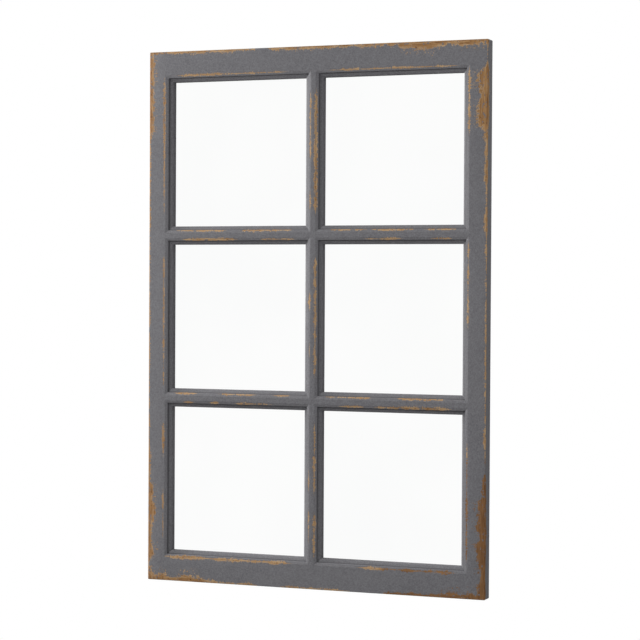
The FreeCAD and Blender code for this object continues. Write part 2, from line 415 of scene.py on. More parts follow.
def new_group(name, inputs, outputs):
    """A shader node group with named sockets, with its input and output nodes."""
    group = bpy.data.node_groups.new(name, "ShaderNodeTree")
    for label, kind in inputs:
        group.interface.new_socket(label, in_out="INPUT", socket_type="NodeSocket" + kind)
    for label, kind in outputs:
        group.interface.new_socket(label, in_out="OUTPUT", socket_type="NodeSocket" + kind)
    return group, group.nodes.new("NodeGroupInput"), group.nodes.new("NodeGroupOutput")


def place_group(tree, group, **inputs):
    made = tree.nodes.new("ShaderNodeGroup")
    made.node_tree = group
    for label, value in inputs.items():
        tree.links.new(value, made.inputs[label])
    return made.outputs


def kept_vector(tree, name):
    return node(tree, "Attribute", attribute_name=name).outputs["Vector"]


def new_finish(name, kept_place=None):
    """A new material with its node tree, its shader and the place on the piece, which is read
    from an attribute where the piece keeps one."""
    finish = bpy.data.materials.new(name)
    finish.use_nodes = True
    tree = finish.node_tree
    if kept_place:
        place = kept_vector(tree, kept_place)
    else:
        place = node(tree, "TexCoord").outputs["Object"]
    return finish, tree, tree.nodes["Principled BSDF"], place


def raise_surface(tree, shader, height, strength, distance):
    bump = node(tree, "Bump")
    bump.inputs["Strength"].default_value = strength
    bump.inputs["Distance"].default_value = distance
    tree.links.new(height, bump.inputs["Height"])
    tree.links.new(bump.outputs["Normal"], shader.inputs["Normal"])


def pine_grain_group():
    """Pine: fine fibres and darker latewood streaks along the bar, stained where it was rubbed."""
    stained_early = (0.35, 0.195, 0.082)
    stained_late = (0.25, 0.125, 0.046)
    stained_dark = (0.125, 0.053, 0.019)
    stained_pale = (0.47, 0.32, 0.175)
    speck_brown = (0.085, 0.028, 0.011)
    raw_early = (0.56, 0.39, 0.215)
    raw_late = (0.44, 0.265, 0.120)
    raw_dark = (0.30, 0.155, 0.062)
    group, given, out = new_group("pine_grain", [("Place", "Vector")],
                                  [("Rubbed", "Color"), ("Raw", "Color"), ("Height", "Float")])
    place = given.outputs["Place"]
    rings = noise(group, place, (130, 130, 6), 3, 0.5, (0, 0, 3), 0.5)
    fibre = noise(group, place, (800, 800, 34), 3, 0.6, (7, 2, 0))
    flecks = noise(group, place, (330, 330, 170), 2, 0.6, (5, 9, 4))
    bands = ramp_value(group, rings, 0.38, 0.64)
    dark = ramp_value(group, fibre, 0.52, 0.72)
    pale = ramp_value(group, fibre, 0.46, 0.30)
    specks = ramp_value(group, flecks, 0.63, 0.69)
    rubbed = blend(group, bands, stained_early, stained_late)
    rubbed = blend(group, dark, rubbed, stained_dark)
    rubbed = blend(group, pale, rubbed, stained_pale)
    rubbed = blend(group, specks, rubbed, speck_brown)
    raw = blend(group, bands, raw_early, raw_late)
    raw = blend(group, scaled(group, dark, 0.55), raw, raw_dark)
    group.links.new(rubbed, out.inputs["Rubbed"])
    group.links.new(raw, out.inputs["Raw"])
    group.links.new(fibre, out.inputs["Height"])
    return group


def rubbed_edge_group():
    """Where paint has been rubbed off along one edge: a ragged patch with islands of paint in it
    and specks beyond."""
    full_shake = 700
    swing_share = 2.0
    least_swing = 0.006
    jitter_depth = 0.008
    speck_spread = 2.2
    group, given, out = new_group(
        "rubbed_edge",
        [("Run", "Float"), ("Reach", "Float"), ("Place", "Vector")],
        [("Bare", "Float"), ("Deep", "Float")],
    )
    place = given.outputs["Place"]
    distance = maths(group, "ABSOLUTE", given.outputs["Run"])
    gaps = noise(group, place, (20, 20, 34), 2, 0.5, (1, 8, 3))
    ragged = noise(group, place, (190, 190, 120), 5, 0.7)
    grain = noise(group, place, (190, 190, 430), 2, 0.5, (4, 1, 7))
    islands = noise(group, place, (240, 240, 150), 3, 0.6, (9, 5, 2))
    reach = maths(group, "MULTIPLY", given.outputs["Reach"],
                  ramp_value(group, gaps, 0.34, 0.56, 0.3, 1.05, False))
    present = maths(group, "MINIMUM", scaled(group, reach, full_shake), 1)
    swing = maths(group, "MULTIPLY", maths(group, "SUBTRACT", ragged, 0.5),
                  maths(group, "MULTIPLY_ADD", reach, swing_share, least_swing))
    jitter = scaled(group, maths(group, "SUBTRACT", grain, 0.5), jitter_depth)
    shake = maths(group, "MULTIPLY", maths(group, "ADD", swing, jitter), present)
    edge = maths(group, "ADD", maths(group, "SUBTRACT", reach, distance), shake)
    bare = ramp_value(group, edge, -0.0001, 0.0002)
    patch = maths(group, "MULTIPLY", bare, ramp_value(group, islands, 0.64, 0.60))
    wide = maths(group, "SUBTRACT", scaled(group, reach, speck_spread), distance)
    scattered = maths(group, "MULTIPLY", ramp_value(group, wide, 0.0, 0.006),
                      ramp_value(group, grain, 0.60, 0.64))
    group.links.new(maths(group, "MAXIMUM", patch, scattered), out.inputs["Bare"])
    group.links.new(ramp_value(group, edge, 0.0012, 0.0045), out.inputs["Deep"])
    return group


def rubbed_paint():
    """Matt grey paint over pine, rubbed through along the edges, with painted shade and some grime
    darkening the quirks, and left off the back."""
    paint_dark = (0.106, 0.104, 0.111)
    paint_light = (0.196, 0.193, 0.206)
    paint_drift = (0.185, 0.183, 0.188)
    # Near-black painted shade, with some grime, laid into the foot of each quirk.
    quirk_shade_and_grime = (0.030, 0.029, 0.032)
    skimmed_pale = (0.455, 0.305, 0.168)
    skimmed_deep = (0.315, 0.187, 0.090)
    brown_pale = (0.225, 0.112, 0.046)
    brown_deep = (0.135, 0.062, 0.024)
    finish, tree, shader, place = new_finish("rubbed_grey_paint", "bar_place")

    def kept_parts(name):
        parts = node(tree, "SeparateXYZ")
        tree.links.new(kept_vector(tree, name), parts.inputs[0])
        return parts.outputs

    nook, unpainted, stain = kept_parts("coat")
    wood = place_group(tree, pine_grain_group(), Place=place)
    edge_group = rubbed_edge_group()
    worn = [place_group(tree, edge_group, Run=run, Reach=reach, Place=place)
            for run, reach in zip(kept_parts("edge_run"), kept_parts("rubbed"))]

    def most(label):
        first_two = maths(tree, "MAXIMUM", worn[0][label], worn[1][label])
        return maths(tree, "MAXIMUM", first_two, worn[2][label])

    mist = noise(tree, place, (60, 60, 60), 5, 0.7, (3, 6, 1))
    raw = ramp_value(tree, maths(tree, "ADD", unpainted, scaled(tree, mist, 0.5)), 1.07, 1.17)
    open_wood = maths(tree, "MAXIMUM", most("Bare"), raw)

    sand = noise(tree, place, (560, 560, 420), 3, 0.7, (2, 4, 6))
    drift = noise(tree, place, (24, 24, 9), 2, 0.5, (8, 3, 5))
    grey = blend(tree, ramp_value(tree, sand, 0.30, 0.70, 0, 1, False), paint_dark, paint_light)
    grey = blend(tree, scaled(tree, ramp_value(tree, drift, 0.35, 0.7), 0.14), grey, paint_drift)
    # Painted shade: the grey darkens toward the foot of each quirk, where the shoulder shades it.
    shade_and_grime = scaled(tree, ramp_value(tree, nook, 0.0014, 0.0001), 0.72)
    grey = blend(tree, shade_and_grime, grey, quirk_shade_and_grime)
    streaks = ramp_value(tree, wood["Height"], 0.38, 0.62)
    skimmed = blend(tree, streaks, skimmed_pale, skimmed_deep)
    brown = blend(tree, streaks, brown_pale, brown_deep)
    rubbed = blend(tree, most("Deep"), skimmed, wood["Rubbed"])
    wood_color = blend(tree, raw, blend(tree, stain, rubbed, brown), wood["Raw"])
    tree.links.new(blend(tree, open_wood, grey, wood_color), shader.inputs["Base Color"])
    dullness = maths(tree, "ADD", ramp_value(tree, sand, 0.3, 0.7, 0.64, 0.74),
                     scaled(tree, open_wood, 0.12))
    tree.links.new(dullness, shader.inputs["Roughness"])
    shader.inputs["Specular IOR Level"].default_value = 0.22
    film = scaled(tree, maths(tree, "SUBTRACT", 1, open_wood), 0.5)
    fibre_share = maths(tree, "ADD", scaled(tree, open_wood, 0.4), 0.06)
    fibre = maths(tree, "MULTIPLY", wood["Height"], fibre_share)
    grit = scaled(tree, sand, 0.22)
    height = maths(tree, "ADD", maths(tree, "ADD", film, fibre), grit)
    raise_surface(tree, shader, height, 0.5, 0.0005)
    return finish


grey_paint = rubbed_paint()
stile_horn = half_height - rail_edge
stile_bays = [
    (-rail_edge, -bar_height - bar_half_flat),
    (-bar_height + bar_half_flat, bar_height - bar_half_flat),
    (bar_height + bar_half_flat, rail_edge),
]
# Each stroke of sanding has its start and end along the bar and how far the paint is rubbed back.
# The two ends of a stile are rubbed by one reach at its outer edge and another at its inner edge.
left_outer = [(-0.457, 0.457, 0.0018), (0.30, 0.45, 0.0075), (0.425, 0.47, 0.0075),
              (-0.30, -0.22, 0.004), (-0.35, -0.28, 0.008), (-0.43, -0.31, 0.013),
              (-0.47, -0.42, 0.007)]
left_inner = [(0.292, 0.413, 0.0022), (0.236, 0.30, 0.0015), (0.178, 0.25, 0.0009),
              (-0.121, 0.108, 0.0013), (-0.242, -0.181, 0.0024), (-0.385, -0.298, 0.0018)]
left_ends = ((0.004, 0.003), (0.007, 0.011))
left_crest = -0.0025
left_stain = [(-0.47, 0.47, 0.3)]
left_stile = frame_bar("painted_left_stile", stile_flat, rail_edge, stile_horn, stile_bays,
                       (left_outer, left_inner, left_ends), 0, left_crest, left_stain)
put_in_place(left_stile, 0, (-half_width, 0, 0))
finish_bar(left_stile, "left_stile", grey_paint)

right_outer = [(-0.457, 0.457, 0.0014), (-0.423, -0.218, 0.006), (-0.415, -0.305, 0.016),
               (-0.218, -0.072, 0.0025), (-0.195, -0.131, 0.004), (0.061, 0.108, 0.0035),
               (0.17, 0.212, 0.003), (0.248, 0.456, 0.011), (0.326, 0.399, 0.017),
               (0.43, 0.47, 0.011)]
right_inner = [(-0.413, -0.299, 0.002), (-0.128, 0.016, 0.0018), (0.202, 0.397, 0.0018)]
right_ends = ((0.008, 0.010), (0.016, 0.018))
right_stain = [(0.22, 0.47, 0.85)]
right_stile = frame_bar("painted_right_stile", stile_flat, rail_edge, stile_horn, stile_bays,
                        (right_outer, right_inner, right_ends), log_step, stained=right_stain)
put_in_place(right_stile, 2, (half_width, 0, 0))
finish_bar(right_stile, "right_stile", grey_paint)


# Rails: the top and bottom bars of the sash, of the same pine and moulding but wider on the face.
# They butt between the stiles on dowels, and only their mouldings are mitred into the stiles'.
rail_flat = 0.041
stile_edge = half_width - stile_flat
rail_bays = [(-stile_edge, -bar_half_flat), (bar_half_flat, stile_edge)]
no_ends = ((0, 0), (0, 0))
top_outer = [(-0.29, -0.098, 0.0042), (-0.085, 0.153, 0.0045), (0.145, 0.29, 0.0095),
             (0.17, 0.223, 0.012)]
top_inner = [(-0.257, -0.046, 0.002), (0.025, 0.257, 0.0017)]
top_rail = frame_bar("painted_top_rail", rail_flat, stile_edge, 0, rail_bays,
                     (top_outer, top_inner, no_ends), 2 * log_step)
put_in_place(top_rail, 1, (0, 0, half_height))
finish_bar(top_rail, "top_rail", grey_paint)

bottom_outer = [(0.097, 0.29, 0.004), (0.195, 0.29, 0.011), (-0.074, 0.06, 0.002),
                (-0.153, -0.127, 0.003), (-0.274, -0.13, 0.004), (-0.29, -0.22, 0.010)]
bottom_inner = [(0.038, 0.274, 0.0032), (-0.254, -0.08, 0.0028)]
bottom_stain = [(-0.29, -0.12, 0.85)]
bottom_rail = frame_bar("painted_bottom_rail", rail_flat, stile_edge, 0, rail_bays,
                        (bottom_outer, bottom_inner, no_ends), 3 * log_step, stained=bottom_stain)
put_in_place(bottom_rail, 3, (0, 0, -half_height))
finish_bar(bottom_rail, "bottom_rail", grey_paint)


# Glazing bars: one upright bar from rail to rail and four short bars, moulded on both sides.
# They lie in front of the mirror, pinned with dowels, and every inside corner is a mitre.
bar_cut = 0.0022


def glazing_bar(name, half_length, bays, strokes, log, crests):
    """A glazing bar standing on its end about x = 0, its mouldings mitred in each bay."""
    piece = block(name, (-bar_half_flat, front_y, -half_length),
                  (bar_half_flat, mirror_y, half_length))
    stations = [end for bay in bays for end in bay]
    cut_round(2, stations)
    cut_round(1, (quirk_y,))
    run_moulding(piece, bar_half_flat, 1, bays, half_length, False)
    run_moulding(piece, -bar_half_flat, -1, bays, half_length, False)
    cut_round(0, (-bar_cut, bar_cut))
    divide_length(piece, stations)
    close_editing()

    def runs_at(spot, deep):
        return (-bar_half_flat - spot.x + deep - crests[0],
                spot.x - bar_half_flat + deep - crests[1], 1)

    def reaches_at(spot):
        return (rubbing(spot.z, strokes[0]), rubbing(spot.z, strokes[1]), 0)

    # How far a point is from the quirk's foot, where the paint is darkened with painted shade.
    def nook_at(spot):
        return abs(abs(spot.x) - bar_half_flat - shoulder) + abs(spot.y - quirk_y)

    record_wear(piece, runs_at, reaches_at, nook_at, lambda spot: False, (), log)
    return piece


upright_left = [(0.265, 0.38, 0.0015), (0.181, 0.215, 0.0015), (0.013, 0.044, 0.0025),
                (-0.067, -0.037, 0.0013), (-0.292, -0.255, 0.0015), (-0.38, -0.323, 0.0013)]
upright_right = [(0.175, 0.386, 0.0030), (-0.02, 0.104, 0.0025), (-0.101, -0.017, 0.0024),
                 (-0.299, -0.178, 0.0022), (-0.403, -0.326, 0.0025)]
upright = glazing_bar("painted_vertical_muntin", rail_edge, stile_bays,
                      (upright_left, upright_right), 4 * log_step, (inner_crest, inner_crest))
put_in_place(upright, 0, (0, 0, 0))
finish_bar(upright, "vertical_muntin", grey_paint)

short_half = (stile_edge - bar_half_flat) / 2
short_middle = bar_half_flat + short_half
short_bays = [(-short_half, short_half)]
short_crests = (0.0052, 0.0035)
short_bars = [
    ("upper_left_muntin", -1, 1,
     [(-0.115, -0.019, 0.0020), (0.004, 0.102, 0.0030)],
     [(-0.105, 0.0, 0.0025), (0.043, 0.107, 0.0021)]),
    ("upper_right_muntin", 1, 1,
     [(-0.112, -0.04, 0.0014), (-0.035, 0.042, 0.0026), (0.058, 0.117, 0.0023)],
     [(-0.049, 0.02, 0.0022), (0.07, 0.107, 0.0026)]),
    ("lower_left_muntin", -1, -1,
     [(-0.117, -0.073, 0.0024), (-0.034, 0.041, 0.0030), (0.067, 0.1, 0.0024)],
     [(-0.1, -0.077, 0.0020), (-0.051, -0.03, 0.0034), (-0.004, 0.067, 0.0026)]),
    ("lower_right_muntin", 1, -1,
     [(-0.114, -0.033, 0.0025), (0.009, 0.096, 0.0024)],
     [(-0.092, -0.045, 0.0024), (-0.028, 0.107, 0.0028)]),
]
for count, (label, side, row, upper, lower) in enumerate(short_bars):
    short_bar = glazing_bar("painted_" + label, short_half, short_bays, (upper, lower),
                            (5 + count) * log_step, short_crests)
    put_in_place(short_bar, 1, (side * short_middle, 0, row * bar_height))
    finish_bar(short_bar, label, grey_paint)


# Dowels: plain beech pins glued in the corner joints, at the ends of the glazing bars and through
# the crossings. They are hidden once the sash is glued up, so they keep the shape of the solid.
beech_pale = (0.64, 0.45, 0.27)
beech_dark = (0.50, 0.32, 0.17)
beech_fleck = (0.36, 0.20, 0.09)


def dress(label, finish):
    """Give a solid that keeps its own shape a finish."""
    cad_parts[label].active_material = finish


beech, tree, shader, place = new_finish("bare_beech")
flecks = noise(tree, place, (900, 900, 900), 3, 0.6)
rays = noise(tree, place, (60, 400, 400), 3, 0.6, (4, 2, 1))
tone = blend(tree, ramp_value(tree, rays, 0.35, 0.65), beech_pale, beech_dark)
tone = blend(tree, ramp_value(tree, flecks, 0.58, 0.68), tone, beech_fleck)
tree.links.new(tone, shader.inputs["Base Color"])
tree.links.new(ramp_value(tree, flecks, 0.3, 0.7, 0.62, 0.74), shader.inputs["Roughness"])
raise_surface(tree, shader, rays, 0.3, 0.0003)
for label in ("corner_dowels", "muntin_dowels", "cross_dowels"):
    dress(label, beech)


# Mirror: one sheet of 3 mm silvered glass behind all six panes, cut to lie loose in the rabbet.
# Its silvering faces the card behind it, and it shows the room in front with hardly any tint.
silver_dull = (0.955, 0.96, 0.958)
silver_bright = (0.975, 0.978, 0.975)
silver, tree, shader, place = new_finish("silvered_glass")
shader.inputs["Metallic"].default_value = 1
shader.inputs["Roughness"].default_value = 0
haze = noise(tree, place, (3, 3, 3), 3, 0.5)
tone = blend(tree, ramp_value(tree, haze, 0.3, 0.7), silver_dull, silver_bright)
tree.links.new(tone, shader.inputs["Base Color"])
dress("mirror_glass", silver)


# Card: a sheet of plain brown packing card between the silvering and the backing board.
# It is cut square like the glass, so it keeps the shape of the solid.
card_dark = (0.43, 0.30, 0.18)
card_light = (0.54, 0.40, 0.25)
card_strand = (0.24, 0.15, 0.08)
kraft, tree, shader, place = new_finish("brown_card")
pulp = noise(tree, place, (420, 420, 420), 4, 0.65)
strands = noise(tree, place, (2600, 2600, 500), 2, 0.5, (3, 1, 5))
tone = blend(tree, ramp_value(tree, pulp, 0.35, 0.65), card_dark, card_light)
tone = blend(tree, ramp_value(tree, strands, 0.66, 0.74), tone, card_strand)
tree.links.new(tone, shader.inputs["Base Color"])
tree.links.new(ramp_value(tree, pulp, 0.3, 0.7, 0.78, 0.9), shader.inputs["Roughness"])
raise_surface(tree, shader, pulp, 0.25, 0.0002)
dress("card_sheet", kraft)


# Backing board: 3 mm brown hardboard, sawn to the rabbet with its edges just broken.
# It lies on the card with its screen-marked side outward, and the steel points hold it in.
board_half_width = 0.2705
board_half_height = 0.4125
board_front = -0.0134
board_back = -0.0104
board_ease = 0.0005
screen_pitch = 0.0016
board_dark = (0.238, 0.137, 0.070)
board_light = (0.285, 0.171, 0.091)
board_fibre_pale = (0.40, 0.27, 0.16)
board_fibre_dark = (0.12, 0.064, 0.032)
board_scuff = (0.46, 0.34, 0.22)
board = block("hardboard_back", (-board_half_width, board_front, -board_half_height),
              (board_half_width, board_back, board_half_height))
bpy.ops.mesh.select_mode(type="EDGE")
bpy.ops.mesh.select_all(action="SELECT")
bevel_chosen(board_ease, 2)
close_editing()

hardboard, tree, shader, place = new_finish("brown_hardboard")
mottle = noise(tree, place, (26, 26, 26), 5, 0.65)
fibre = noise(tree, place, (700, 700, 700), 4, 0.7, (5, 2, 8))
scuff = noise(tree, place, (14, 14, 170), 4, 0.6, (2, 9, 4))
along = node(tree, "SeparateXYZ")
tree.links.new(place, along.inputs[0])
wires = [maths(tree, "SINE", scaled(tree, along.outputs[axis], 2 * math.pi / screen_pitch))
         for axis in (0, 2)]
screen = maths(tree, "MULTIPLY", wires[0], wires[1])
tone = blend(tree, ramp_value(tree, mottle, 0.3, 0.7), board_dark, board_light)
tone = blend(tree, ramp_value(tree, fibre, 0.60, 0.72), tone, board_fibre_pale)
tone = blend(tree, scaled(tree, ramp_value(tree, fibre, 0.42, 0.30), 0.7), tone, board_fibre_dark)
tone = blend(tree, scaled(tree, ramp_value(tree, scuff, 0.66, 0.74), 0.35), tone, board_scuff)
tree.links.new(tone, shader.inputs["Base Color"])
tree.links.new(ramp_value(tree, mottle, 0.3, 0.7, 0.58, 0.74), shader.inputs["Roughness"])
raise_surface(tree, shader, maths(tree, "ADD", scaled(tree, screen, 0.35), fibre), 0.35, 0.0003)
finish_piece(board, "backing_board", "mirror", hardboard, angle=30)


# Retaining points: small zinc-plated plates with a pressed rib, driven into the rabbet's wall by
# hand. Five stand along each stile and three along each rail, lying flat on the hardboard.
point_depth = 0.006
point_reach = 0.010
point_half_width = 0.004
point_thickness = 0.0006
point_corner = 0.0026
point_taper = 0.3
point_ease = 0.00012
eased_from = 0.004
rib_margin = 0.0021
rib_slope = 0.0005
rib_height = 0.0003
points_on_stile = 5
points_on_rail = 3
zinc_dark = (0.53, 0.53, 0.52)
zinc_light = (0.70, 0.69, 0.66)
zinc_stain = (0.42, 0.38, 0.31)


def copied(model, name):
    """A copy of a piece with a mesh of its own."""
    bpy.ops.object.select_all(action="DESELECT")
    model.select_set(True)
    bpy.context.view_layer.objects.active = model
    bpy.ops.object.duplicate()
    piece = bpy.context.object
    piece.name = name
    piece.data.name = name
    return piece


def joined(pieces, name):
    bpy.ops.object.select_all(action="DESELECT")
    for piece in pieces:
        piece.select_set(True)
    bpy.context.view_layer.objects.active = pieces[0]
    bpy.ops.object.join()
    whole = bpy.context.object
    whole.name = name
    whole.data.name = name
    return whole


zinc, tree, shader, place = new_finish("zinc_plate")
shader.inputs["Metallic"].default_value = 1
streak = noise(tree, place, (420, 420, 1500), 4, 0.6)
stain = noise(tree, place, (160, 160, 160), 4, 0.6, (6, 1, 3))
tone = blend(tree, ramp_value(tree, streak, 0.3, 0.7), zinc_dark, zinc_light)
tone = blend(tree, scaled(tree, ramp_value(tree, stain, 0.52, 0.68), 0.5), tone, zinc_stain)
tree.links.new(tone, shader.inputs["Base Color"])
tree.links.new(ramp_value(tree, stain, 0.3, 0.7, 0.38, 0.58), shader.inputs["Roughness"])
raise_surface(tree, shader, streak, 0.2, 0.0001)

point_model = block("point_model", (-point_depth, board_back, -point_half_width),
                    (point_reach, board_back + point_thickness, point_half_width))
choose_edges(point_model, lambda a, b: near(a.x, point_reach) and near(b.x, point_reach)
             and near(a.z, b.z))
bevel_chosen(point_corner, 5)
choose_points(point_model, lambda spot: near(spot.x, -point_depth))
bpy.ops.transform.resize(value=(1, 1, point_taper), center_override=(0, 0, 0))
choose_faces(point_model, lambda middle, normal: normal.y > squarely)
bpy.ops.mesh.inset(thickness=rib_margin, use_even_offset=True)
bpy.ops.mesh.inset(thickness=rib_slope, use_even_offset=True)
bpy.ops.transform.translate(value=(0, rib_height, 0))
choose_edges(point_model, lambda a, b: near(a.y, b.y) and max(a.x, b.x) > eased_from
             and near(max(abs(a.z), abs(b.z)), point_half_width))
bevel_chosen(point_ease, 2)
close_editing()
rabbet_side = stile_edge - rabbet_step
rabbet_top = rail_edge - rabbet_step
point_places = []
for count in range(points_on_stile):
    height = -rabbet_top + (2 * count + 1) * rabbet_top / points_on_stile
    point_places.append((0, (-rabbet_side, 0, height)))
    point_places.append((2, (rabbet_side, 0, height)))
for count in range(points_on_rail):
    across = -rabbet_side + (2 * count + 1) * rabbet_side / points_on_rail
    point_places.append((1, (across, 0, rabbet_top)))
    point_places.append((3, (across, 0, -rabbet_top)))
points = []
for count, (turns, spot) in enumerate(point_places):
    point = copied(point_model, "point_%d" % count)
    put_in_place(point, turns, spot)
    points.append(point)
steel_points = joined(points, "steel_points")
finish_piece(steel_points, "retaining_points", "mirror", zinc, angle=30)
bpy.data.objects.remove(point_model)


# Hanger straps: 1.2 mm zinc-plated strip, one to each stile, with a half-round foot and two screw
# holes. The upper end is rolled into an eye that leaves a narrow seam beside the strip.
hanger_x = 0.28825
hanger_y = -0.00325
hanger_z = 0.25
screw_drops = (0.027, 0.040)
strap_half_width = 0.007
strap_length = 0.047
strap_inner = -0.00275
strap_outer = -0.00155
foot_round = 0.00699
eye_turn = math.radians(292)
hole_radius = 0.00215
hole_depth = 0.004
strap_ease = 0.00015


def cut_away(piece, cutter):
    """Cut a shape out of a piece and clear the shape away."""
    bpy.ops.object.mode_set(mode="OBJECT")
    bpy.ops.object.select_all(action="DESELECT")
    piece.select_set(True)
    bpy.context.view_layer.objects.active = piece
    cut = piece.modifiers.new("cut", "BOOLEAN")
    cut.object = cutter
    cut.solver = "EXACT"
    bpy.ops.object.modifier_apply(modifier="cut")
    bpy.data.objects.remove(cutter)


def round_bar(name, radius, low_y, high_y, height, sides):
    """Start a piece from a cylinder along Y, and open it for editing."""
    bpy.ops.object.select_all(action="DESELECT")
    bpy.ops.mesh.primitive_cylinder_add(vertices=sides, radius=radius, depth=high_y - low_y,
                                        location=(0, (low_y + high_y) / 2, height),
                                        rotation=(math.pi / 2, 0, 0))
    piece = bpy.context.object
    piece.name = name
    piece.data.name = name
    bpy.ops.object.transform_apply(location=True, rotation=True, scale=True)
    bpy.ops.object.mode_set(mode="EDIT")
    return piece


strap_model = block("strap_model", (-strap_half_width, strap_inner, -strap_length),
                    (strap_half_width, strap_outer, 0))
choose_edges(strap_model, lambda a, b: near(a.z, -strap_length) and near(b.z, -strap_length)
             and near(a.x, b.x))
bevel_chosen(foot_round, 12)
choose_faces(strap_model, lambda middle, normal: normal.z > squarely)
bpy.ops.mesh.spin(steps=26, angle=eye_turn, center=(0, 0, 0), axis=(1, 0, 0))
close_editing()
for drop in screw_drops:
    cut_away(strap_model, round_bar("hole", hole_radius, -hole_depth, 0, -drop, 32))
edge_ease = strap_model.modifiers.new("ease", "BEVEL")
edge_ease.width = strap_ease
edge_ease.segments = 2
edge_ease.limit_method = "ANGLE"
edge_ease.angle_limit = math.radians(50)
bpy.ops.object.modifier_apply(modifier="ease")
for side, label in ((-1, "left"), (1, "right")):
    strap = copied(strap_model, label + "_strap")
    put_in_place(strap, 0, (side * hanger_x, hanger_y, hanger_z))
    finish_piece(strap, label + "_hanger_strap", "mirror", zinc, angle=30)
bpy.data.objects.remove(strap_model)


# Hanger rings: 3 mm zinc-plated wire bent into a D, its straight bar turning in the strap's eye.
# The ring hangs down at rest and swings up on the wall hook.
wire_radius = 0.0015
ring_half_bar = 0.0095
bend_radius = 0.003
ring_leg = 0.0035
bow_middle = -bend_radius - ring_leg
quarter_bend = math.radians(-90)
bpy.ops.object.select_all(action="DESELECT")
bpy.ops.mesh.primitive_circle_add(vertices=20, radius=wire_radius, fill_type="NGON",
                                  rotation=(0, math.pi / 2, 0))
ring_model = bpy.context.object
ring_model.name = "ring_model"
bpy.ops.object.transform_apply(location=True, rotation=True, scale=True)
bpy.ops.object.mode_set(mode="EDIT")
bpy.ops.mesh.select_all(action="SELECT")
bpy.ops.mesh.extrude_region_move(TRANSFORM_OT_translate={"value": (ring_half_bar, 0, 0)})
bpy.ops.mesh.spin(steps=8, angle=quarter_bend, center=(ring_half_bar, 0, -bend_radius),
                  axis=(0, 1, 0))
bpy.ops.mesh.extrude_region_move(TRANSFORM_OT_translate={"value": (0, 0, -ring_leg)})
bpy.ops.mesh.spin(steps=20, angle=quarter_bend, center=(0, 0, bow_middle), axis=(0, 1, 0))
choose_faces(ring_model, lambda middle, normal: near(middle.x, 0))
bpy.ops.mesh.delete(type="ONLY_FACE")
bpy.ops.object.mode_set(mode="OBJECT")
other_half = ring_model.modifiers.new("other_half", "MIRROR")
other_half.merge_threshold = close
bpy.ops.object.modifier_apply(modifier="other_half")
bpy.ops.object.mode_set(mode="EDIT")
close_editing()
for side, label in ((-1, "left"), (1, "right")):
    ring = copied(ring_model, label + "_ring")
    put_in_place(ring, 0, (side * hanger_x, hanger_y, hanger_z))
    finish_piece(ring, label + "_hanger_ring", label + "_ring", zinc, angle=40)
bpy.data.objects.remove(ring_model)


# Hanger screws: pan-head wood screws with a cross recess, two through each strap into the stile.
# Only the heads show; the shanks are buried in the wood.
head_radius = 0.0035
head_top = 0.00065
head_round = 0.0012
shank_step = 0.00175
shank_length = 0.012
tip_length = 0.004
tip_share = 0.06
recess_long = 0.002
recess_short = 0.00045
recess_floor = -0.00065
recess_open = 0.002
screw_model = round_bar("screw_model", head_radius, strap_outer, head_top, 0, 40)
choose_edges(screw_model, lambda a, b: near(a.y, head_top) and near(b.y, head_top))
bevel_chosen(head_round, 6)
choose_faces(screw_model, lambda middle, normal: normal.y < -squarely)
bpy.ops.mesh.inset(thickness=shank_step, use_even_offset=True)
bpy.ops.mesh.extrude_region_move(TRANSFORM_OT_translate={"value": (0, -shank_length, 0)})
bpy.ops.mesh.extrude_region_move(TRANSFORM_OT_translate={"value": (0, -tip_length, 0)})
bpy.ops.transform.resize(value=(tip_share, 1, tip_share), center_override=(0, 0, 0))
close_editing()
for half_x, half_z in ((recess_long, recess_short), (recess_short, recess_long)):
    cut_away(screw_model, block("recess", (-half_x, recess_floor, -half_z),
                                (half_x, recess_open, half_z)))
for side, label in ((-1, "left"), (1, "right")):
    pair = []
    for drop in screw_drops:
        screw = copied(screw_model, label + "_screw")
        # Each screw is driven home at an angle of its own.
        screw.rotation_euler = (0, 0.4 + 30 * drop + side, 0)
        bpy.ops.object.transform_apply(location=True, rotation=True, scale=True)
        put_in_place(screw, 0, (side * hanger_x, hanger_y, hanger_z - drop))
        pair.append(screw)
    screws = joined(pair, label + "_screws")
    finish_piece(screws, label + "_hanger_screws", "mirror", zinc, angle=30)
bpy.data.objects.remove(screw_model)


# Wall bumpers: moulded black rubber buttons with a rounded rim and a shallow dimple, glued near
# the corners. They keep the rings and straps clear of the wall.
bumper_radius = 0.006
bumper_z = 0.435
bumper_rim = 0.001
dimple_margin = 0.0018
dimple_slope = 0.0006
dimple_depth = 0.0005
dead_flat = 0.999
rubber_dark = (0.022, 0.022, 0.023)
rubber_light = (0.036, 0.036, 0.036)
rubber_dust = (0.11, 0.105, 0.10)
bumper_model = round_bar("bumper_model", bumper_radius, back_y, 0, 0, 48)
choose_edges(bumper_model, lambda a, b: near(a.y, 0) and near(b.y, 0))
bevel_chosen(bumper_rim, 6)
choose_faces(bumper_model, lambda middle, normal: normal.y > dead_flat)
bpy.ops.mesh.inset(thickness=dimple_margin, use_even_offset=True)
bpy.ops.mesh.inset(thickness=dimple_slope, use_even_offset=True)
bpy.ops.transform.translate(value=(0, -dimple_depth, 0))
close_editing()

